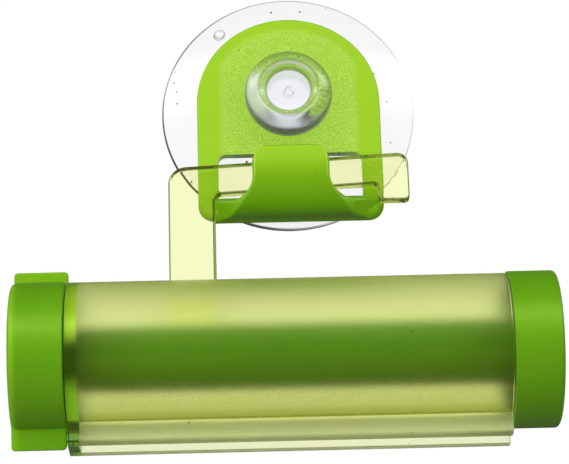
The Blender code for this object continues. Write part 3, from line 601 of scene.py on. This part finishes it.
# Painted shade: the window's ceiling, whose faces look down, is darker.
painted_ceiling_shade = node(tree, "MapRange", [facing["Z"], -0.3, -0.7], **SMOOTH)
over_window = node(tree, "MapRange", [place["Z"], -14.5 * MM, -13.5 * MM, 0.0, 0.8], **SMOOTH)
painted_ceiling_shade = where_all(tree, painted_ceiling_shade, over_window, under_arch)
plain = node(tree, "Mix", [node(tree, "TexNoise", [where, 90.0]), "#8ABE12", "#91C418"], **COLOUR)
plain = node(tree, "Mix", [painted_deep_shade, plain, "#68A60C"], **COLOUR)
plain = node(tree, "Mix", [painted_edge_highlight, plain, "#B4E450"], **COLOUR)
plain = node(tree, "Mix", [painted_ceiling_shade, plain, "#4A8A02"], **COLOUR)
tint = node(tree, "Mix", [sunk, plain, node(tree, "Mix", [grain, "#74AE10", "#DCFF70"], **COLOUR)], **COLOUR)
tint = node(tree, "Mix", [dust(tree, where, 5.2, 0.4, 0.1), tint, "#2E3A10"], **COLOUR)
satin(tree, tint, node(tree, "MapRange", [sunk, 0.0, 1.0, 0.36, 0.5]), relief)
dress(hook_plate, green_pp)
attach(hook_plate, "hook")
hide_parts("hook_plate")


# Barrel. One moulding of clear yellow green styrene: a slotted tube with two lips, frosted on its
# outside, and a polished end wall, spigot and flat bent arm. Light is tinted by its way through.

AXIS = np.array([0, -22, -63.1])
BARREL_LEFT, BARREL_RIGHT = -46.3, 42.3
BARREL_RADIUS, BORE_RADIUS, BORE_LEFT = 15.6, 13.6, -44.0
SPIGOT_RADIUS, SPIGOT_RIGHT, SPIGOT_ROOT = 14.6, 50.3, 0.6
LIP_FOOT, LIP_HALF, LIP_FILLET, SLOT_HALF = -18.9, 5.0, 1.0, 2.3
BEARING_RADIUS = 4.3
ARM_BACK, ARM_FRONT, ARM_EDGE = 7.8, 10.6, 0.5
LEG_LEFT, LEG_RIGHT, TAB_LEFT, TAB_RIGHT = -26.1, -16.2, 18.5, 25.1
BAR_START, BAR_LOW, BAR_RISE = -15.2, -22.6, np.tan(np.radians(2.9))
BAR_HEIGHT, TAB_DROP = 6.7, 3.9
FROST_LEFT, FROST_RIGHT, FROST_FADE = -44.0, 41.2, 0.3


def along_barrel(points):
    """Height along the barrel becomes X, in metres: (y, z, height) about the barrel's axis."""
    return (np.stack([points[..., 2], points[..., 0], points[..., 1]], -1) + AXIS) * MM


def mirrored(half):
    """An outline's half from its top down, closed by the same points mirrored in a from the bottom up."""
    return np.concatenate([half, half[::-1] * (-1, 1)])


def under_bar(x):
    """The slanted bar's lower edge: its height at x."""
    return BAR_LOW + (x - BAR_START) * BAR_RISE


def above_axis(rise):
    """Z of a level rise above the barrel's axis, in metres."""
    return (AXIS[2] + rise) * MM


across = LIP_HALF + LIP_FILLET
drop = -np.sqrt((BARREL_RADIUS + LIP_FILLET) ** 2 - across**2)
meet = np.degrees(np.arctan2(-drop, across))
tube_side = ring(BARREL_RADIUS, 90.7, 180 + meet, 112)
fillet = ring(LIP_FILLET, meet, 0, 8)[1:] + (-across, drop)
lip = softened([(-LIP_HALF, drop, 0), (-LIP_HALF, LIP_FOOT, 0.5), (0, LIP_FOOT, 0)])[9:-9]
tube_outline = mirrored(np.concatenate([tube_side, fillet, lip]))
barrel = slab("frosted_barrel", tube_outline, BARREL_LEFT, BARREL_RIGHT, 0.25, along_barrel)
spigot_profile = softened([
    (0, BARREL_RIGHT - SPIGOT_ROOT, 0), (SPIGOT_RADIUS, BARREL_RIGHT - SPIGOT_ROOT, 0),
    (SPIGOT_RADIUS, SPIGOT_RIGHT, 0.3), (0, SPIGOT_RIGHT, 0),
])
spigot = skin("spigot", along_barrel(turned(spigot_profile, ROUND_TURNS)))
arm_outline = softened([
    (LEG_LEFT, AXIS[2], 0), (LEG_RIGHT, AXIS[2], 0),
    (LEG_RIGHT, under_bar(LEG_RIGHT), 1.5), (TAB_LEFT, under_bar(TAB_LEFT), 1.0),
    (TAB_LEFT, under_bar(TAB_LEFT) - TAB_DROP, 1.1), (TAB_RIGHT, under_bar(TAB_LEFT) - TAB_DROP, 1.1),
    (TAB_RIGHT, under_bar(TAB_RIGHT) + BAR_HEIGHT, 2.3), (LEG_LEFT, under_bar(LEG_LEFT) + BAR_HEIGHT, 3.8),
], 10)
arm_outline = arm_outline[np.linalg.norm(np.roll(arm_outline, -1, 0) - arm_outline, axis=1) > 1e-6]
arm = slab("arm", arm_outline, ARM_BACK, ARM_FRONT, ARM_EDGE)
slot_angle = np.degrees(np.arcsin(SLOT_HALF / BORE_RADIUS))
bore_side = ring(BORE_RADIUS, 90.7, 270 - slot_angle - 1.5, 112)
slot_head = -np.sqrt(BORE_RADIUS**2 - SLOT_HALF**2)
mouth = softened([
    (*bore_side[-1], 0), (-SLOT_HALF, slot_head, 0.25), (-SLOT_HALF, LIP_FOOT - CUTTER_OVER, 0)
])[9:-8]
bore_outline = mirrored(np.concatenate([bore_side, mouth]))
bore = slab("bore", bore_outline, BORE_LEFT, SPIGOT_RIGHT + CUTTER_OVER, 0, along_barrel)
bearing_ring = ring(BEARING_RADIUS, 0, 360, 72)[:-1]
bearing = slab("bearing", bearing_ring, BARREL_LEFT - CUTTER_OVER, BORE_LEFT + CUTTER_OVER, 0, along_barrel)
carve(barrel, 30, [("UNION", spigot), ("UNION", arm), ("DIFFERENCE", bore), ("DIFFERENCE", bearing)])

# General purpose polystyrene dyed yellow green, moulded: the arm is as clear as glass with painted olive
# shade on its edges, and the tube's outside is blasted in the mould, which blurs what is inside it.
clear_styrene, tree = new_material("clear tinted styrene")
where = node(tree, "TexCoord")["Object"]
place = node(tree, "SeparateXYZ", [where])
from_axis = node(tree, "VectorMath", [where, tuple(AXIS * MM)], operation="SUBTRACT")
spoke = node(tree, "VectorMath", [from_axis, (0, 1, 1)], operation="MULTIPLY")
radius = node(tree, "VectorMath", [spoke], operation="LENGTH")
left = node(tree, "MapRange", [place["X"], FROST_LEFT * MM, (FROST_LEFT + FROST_FADE) * MM])
right_end = node(tree, "MapRange", [place["X"], (FROST_RIGHT + FROST_FADE) * MM, FROST_RIGHT * MM])
low_end = node(tree, "MapRange", [place["Z"], above_axis(9), above_axis(5)], **SMOOTH)
lower = node(tree, "Math", [place["Z"], above_axis(0)], operation="LESS_THAN")
lips = node(tree, "Math", [place["Z"], above_axis(-14.9)], operation="LESS_THAN")
body = where_any(tree, node(tree, "MapRange", [radius, 15.9 * MM, 15.8 * MM]), lower)
outside = where_any(tree, node(tree, "MapRange", [radius, 15.2 * MM, 15.4 * MM]), lips)
frosted = where_all(tree, outside, left, where_any(tree, right_end, low_end), body)
pits = where_all(tree, node(tree, "TexNoise", [where, 3600.0, 2.0, 0.6]), frosted)
frost = node(tree, "Bump", {"Height": pits, "Strength": 0.5, "Distance": 0.06 * MM})
tube_blur = node(tree, "MapRange", [place["Z"], above_axis(4), above_axis(-5), 0.34, 0.18], **SMOOTH)
blur = node(tree, "Mix", [lips, tube_blur, 0.55])
polish = node(tree, "Mix", [node(tree, "Math", [radius, 15.9 * MM], operation="LESS_THAN"), 0.02, 0.3])
rough = node(tree, "Mix", [frosted, polish, blur])

# Painted olive shade lies on the arm's edges: the rounding on its near side and round the bar, and
# the leg's two side lines.
facing = node(tree, "SeparateXYZ", [node(tree, "NewGeometry")["Normal"]])
steep = node(tree, "Math", [facing["Y"]], operation="ABSOLUTE")
painted_rounding_shade = node(tree, "Math", [steep, 0.6, 0.32], operation="COMPARE")
near_side = node(tree, "Math", [place["Y"], -(ARM_BACK + 0.8) * MM], operation="LESS_THAN")
on_bar = node(tree, "Math", [place["Z"], (BAR_LOW - 0.5) * MM], operation="GREATER_THAN")
painted_rounding_shade = where_all(tree, painted_rounding_shade, where_any(tree, near_side, on_bar))
right_line = node(tree, "Math", [place["X"], (LEG_RIGHT - 0.3) * MM, 0.3 * MM], operation="COMPARE")
left_line = node(tree, "Math", [place["X"], (LEG_LEFT + 0.15) * MM, 0.17 * MM], operation="COMPARE")
below_bar = node(tree, "Math", [place["Z"], (BAR_LOW - 1.2) * MM], operation="LESS_THAN")
painted_leg_shade = where_all(tree, where_any(tree, right_line, left_line), below_bar)
above = node(tree, "Math", [place["Z"], above_axis(12)], operation="GREATER_THAN")
on_arm = node(tree, "Math", [above, body], operation="SUBTRACT", use_clamp=True)
edge = where_all(tree, where_any(tree, painted_rounding_shade, painted_leg_shade), on_arm)
dark = where_any(tree, edge, where_all(tree, dust(tree, where, 5.5, 0.36, 0.08), frosted))

# Painted shade darkens the tube's lower side in a pitted pattern, more in a hem above the lips, and the lower
# side is yellower.
painted_low_shade = node(tree, "MapRange", [place["Z"], above_axis(-2), above_axis(-9), 0.05, 1.0], **SMOOTH)
painted_low_shade = node(tree, "Math", [where_all(tree, painted_low_shade, pits), lips], operation="SUBTRACT", use_clamp=True)
painted_hem_shade = node(tree, "MapRange", [place["Z"], above_axis(-12), above_axis(-14.9)], **SMOOTH)
painted_hem_shade = node(tree, "Math", [where_all(tree, painted_hem_shade, frosted), lips], operation="SUBTRACT", use_clamp=True)
tube_head = node(tree, "MapRange", [place["Z"], above_axis(7), above_axis(14)], **SMOOTH)
tube_foot = node(tree, "MapRange", [place["Z"], above_axis(-1), above_axis(-8)], **SMOOTH)
tube_foot = node(tree, "Math", [tube_foot, lips], operation="SUBTRACT", use_clamp=True)
# Painted shade darkens the end wall towards its foot.
painted_wall_shade = node(tree, "MapRange", [place["Z"], above_axis(-4), above_axis(-12)], **SMOOTH)
wall_tint = node(tree, "Mix", [painted_wall_shade, "#E4FAC0", "#709970"], **COLOUR)
glass = node(tree, "Mix", [tube_head, "#FFFFEE", "#FAFFC8"], **COLOUR)
glass = node(tree, "Mix", [on_arm, glass, "#FFFFE4"], **COLOUR)
glass = node(tree, "Mix", [tube_foot, glass, "#FCFFD2"], **COLOUR)
glass = node(tree, "Mix", [where_any(tree, painted_low_shade, painted_hem_shade), glass, "#88922E"], **COLOUR)
glass = node(tree, "Mix", [node(tree, "Math", [1.0, left], operation="SUBTRACT"), glass, wall_tint], **COLOUR)

# Flow marks of the mould show in the tab, at the end of the melt's way.
on_tab = where_all(tree, node(tree, "MapRange", [place["X"], 13.5 * MM, 16.5 * MM], **SMOOTH), on_arm)
swirl = where_all(tree, node(tree, "TexNoise", [where, 620.0, 3.0]), on_tab)
frost = node(tree, "Bump", {"Height": swirl, "Strength": 0.25, "Distance": 0.25 * MM, "Normal": frost})
styrene = node(tree, "BsdfPrincipled", {
    "Base Color": node(tree, "Mix", [dark, glass, "#5A6030"], **COLOUR), "Roughness": rough, "IOR": 1.55,
    "Transmission Weight": 1.0, "Specular Tint": "#F2FF84", "Normal": frost,
})
dye = node(tree, "VolumeAbsorption", {"Color": (0.895, 0.983, 0.3, 1), "Density": 160.0})
node(tree, "OutputMaterial", {"Surface": styrene, "Volume": dye})
dress(barrel, clear_styrene)
barrel.visible_shadow = False
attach(barrel, "housing")
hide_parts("barrel")


# Winding spindle. A slit rod of the same green polypropylene inside the barrel, where it shows as
# a dark band through the frosting.

SPINDLE_RADIUS, JOURNAL_RADIUS = 6.8, 4.0
SPINDLE_LEFT, SPINDLE_RIGHT, NECK_LEFT, DRIVE_LEFT = -43.7, 50.1, -47.5, -53.5
DRIVE_HALF, DRIVE_ROOT = 2.5, 0.6
SLIT_HALF, SLIT_REACH, SLIT_START = 1.1, 9, 4


def squared(half, rise, radius, steps):
    """Outline of a rectangle from -half to half and from -rise to rise, with rounded corners."""
    return softened([
        (-half, -rise, radius), (half, -rise, radius), (half, rise, radius), (-half, rise, radius)
    ], steps)


rod_profile = softened([
    (0, SPINDLE_RIGHT, 0), (SPINDLE_RADIUS, SPINDLE_RIGHT, 0.6), (SPINDLE_RADIUS, SPINDLE_LEFT, 0.3),
    (JOURNAL_RADIUS, SPINDLE_LEFT, 0.2), (JOURNAL_RADIUS, NECK_LEFT, 0.3), (0, NECK_LEFT, 0),
])
spindle = skin("slit_spindle", along_barrel(turned(rod_profile, ROUND_TURNS // 2)))
square = squared(DRIVE_HALF, DRIVE_HALF, 0.3, 4)
drive = slab("drive_end", square, DRIVE_LEFT, NECK_LEFT + DRIVE_ROOT, 0.2, along_barrel)
gap = squared(SLIT_HALF, SLIT_REACH, 0, 1)[::2]
slit = slab("slit", gap, SPINDLE_LEFT + SLIT_START, SPINDLE_RIGHT + CUTTER_OVER, 0, along_barrel)
carve(spindle, 30, [("UNION", drive), ("DIFFERENCE", slit)])

# The same polypropylene as the knob, painted a little darker as shade inside the barrel, with the fine draw
# marks of its long mould.
spindle_pp, tree = new_material("long moulded polypropylene")
where = node(tree, "TexCoord")["Object"]
drawn = node(tree, "Mapping", {"Vector": where, "Scale": (0.05, 1, 1)})
marks = node(tree, "TexNoise", [drawn, 1800.0])
relief = node(tree, "Bump", {"Height": marks, "Strength": 0.2, "Distance": 0.03 * MM})
cloud = node(tree, "TexNoise", [where, 120.0, 3.0])
satin(tree, node(tree, "Mix", [cloud, "#3A7606", "#42800A"], **COLOUR), 0.4, relief)
dress(spindle, spindle_pp)
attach(spindle, "winder")
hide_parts("winding_spindle")


# Winding knob. A hollow green polypropylene cup beside the barrel's end wall, with a hub for the
# spindle's square end and two flat finger fins moulded on its rim.

KNOB_LEFT, KNOB_RIGHT, KNOB_RADIUS = -57.6, -46.6, 15.75
KNOB_BORE, KNOB_FLOOR, HUB_RADIUS, HUB_RIGHT = 14.15, -55.6, 6.0, -47.8
SOCKET_HALF, SOCKET_LEFT, SOCKET_OPEN = 2.8, -53.8, -45.8
FIN_TURN, FIN_BACK, FIN_FRONT = 19.5, 6.0, 8.0
FIN_LEFT, FIN_RIGHT, FIN_ROOT, FIN_TOP = -57.5, -46.5, 12.6, 17.88

knob_profile = softened([
    (0, HUB_RIGHT, 0), (HUB_RADIUS, HUB_RIGHT, 0.4), (HUB_RADIUS, KNOB_FLOOR, 0.4),
    (KNOB_BORE, KNOB_FLOOR, 0.6), (KNOB_BORE, KNOB_RIGHT, 0.15), (KNOB_RADIUS, KNOB_RIGHT, 0.35),
    (KNOB_RADIUS, KNOB_LEFT, 1.3), (0, KNOB_LEFT, 0),
])
knob = skin("finned_knob", along_barrel(turned(knob_profile, ROUND_TURNS)))
tools = []
for side in (1, -1):
    corners = softened([
        (FIN_LEFT, FIN_ROOT, 0.01), (FIN_RIGHT, FIN_ROOT, 0.01),
        (FIN_RIGHT, FIN_TOP, 0.8), (FIN_LEFT, FIN_TOP, 0.8)
    ])
    inner = np.array([(FIN_LEFT + FIN_RIGHT) / 2, (FIN_ROOT + FIN_TOP) / 2])
    reach = np.array([FIN_RIGHT - FIN_LEFT, FIN_TOP - FIN_ROOT]) / 2
    rows = []
    for inset, shrink in ((0, 0.35), (0.1, 0.1), (0.35, 0)):
        outline = inner + (corners - inner) * (1 - shrink / reach)
        rows.append(np.column_stack([np.full(len(outline), FIN_BACK + inset), outline[:, 1], outline[:, 0]]))
    grid = np.array(rows + [row * (-1, 1, 1) + (FIN_BACK + FIN_FRONT, 0, 0) for row in rows[::-1]])
    y, z = side * grid[..., 0], side * grid[..., 1]
    sine, cosine = np.sin(np.radians(FIN_TURN)), np.cos(np.radians(FIN_TURN))
    grid = np.stack([y * cosine - z * sine, y * sine + z * cosine, grid[..., 2]], -1)
    tools.append(("UNION", skin(f"fin_{side}", along_barrel(grid), capped=True)))
socket = squared(SOCKET_HALF, SOCKET_HALF, 0.2, 3)
tools.append(("DIFFERENCE", slab("drive_socket", socket, SOCKET_LEFT, SOCKET_OPEN, 0, along_barrel)))
carve(knob, 32, tools)

# Polypropylene, moulded satin and handled: a deeper green than the hook, softly glossy, faintly
# clouded and scuffed. Painted light makes the top fin's tip lighter and puts a painted highlight on the left
# rim.
knob_pp, tree = new_material("handled satin polypropylene")
where = node(tree, "TexCoord")["Object"]
place = node(tree, "SeparateXYZ", [where])
cloud = node(tree, "TexNoise", [where, 70.0, 3.0])
painted_fin_light = node(tree, "MapRange", [place["Z"], above_axis(15.4), above_axis(16.0), 0.0, 0.8], **SMOOTH)
painted_rim_highlight = node(tree, "MapRange", [place["X"], -55.4 * MM, -57.0 * MM, 0.0, 0.6], **SMOOTH)
tint = node(tree, "Mix", [cloud, "#5A9A08", "#66A610"], **COLOUR)
tint = node(tree, "Mix", [where_any(tree, painted_fin_light, painted_rim_highlight), tint, "#86BE1C"], **COLOUR)
scuffs = node(tree, "TexNoise", [where, 1800.0])
relief = node(tree, "Bump", {"Height": scuffs, "Strength": 0.2, "Distance": 0.03 * MM})
satin(tree, tint, node(tree, "MapRange", [cloud, 0.0, 1.0, 0.38, 0.46]), relief)
dress(knob, knob_pp)
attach(knob, "winder")
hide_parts("winding_knob")


# End cap. A push-on green polypropylene cap over the barrel's spigot, with a socket inside that
# carries the spindle's free end. It is moulded of the knob's green.

CAP_LEFT, CAP_RIGHT, CAP_RADIUS = 42.6, 52.4, 15.95
CAP_BORE, CAP_FLOOR = 14.9, 50.6
SOCKET_OUTER, SOCKET_INNER, SOCKET_EDGE = 8.3, 6.9, 45.6

cap_profile = softened([
    (0, CAP_RIGHT, 0), (CAP_RADIUS, CAP_RIGHT, 0.9), (CAP_RADIUS, CAP_LEFT, 0.25), (CAP_BORE, CAP_LEFT, 0.2),
    (CAP_BORE, CAP_FLOOR, 0.4), (SOCKET_OUTER, CAP_FLOOR, 0.3), (SOCKET_OUTER, SOCKET_EDGE, 0.2),
    (SOCKET_INNER, SOCKET_EDGE, 0.2), (SOCKET_INNER, CAP_FLOOR, 0.2), (0, CAP_FLOOR, 0),
])
end_cap = skin("push_on_cap", along_barrel(turned(cap_profile, ROUND_TURNS)), even=True)
dress(end_cap, knob_pp)
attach(end_cap, "cap")
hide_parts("end_cap")
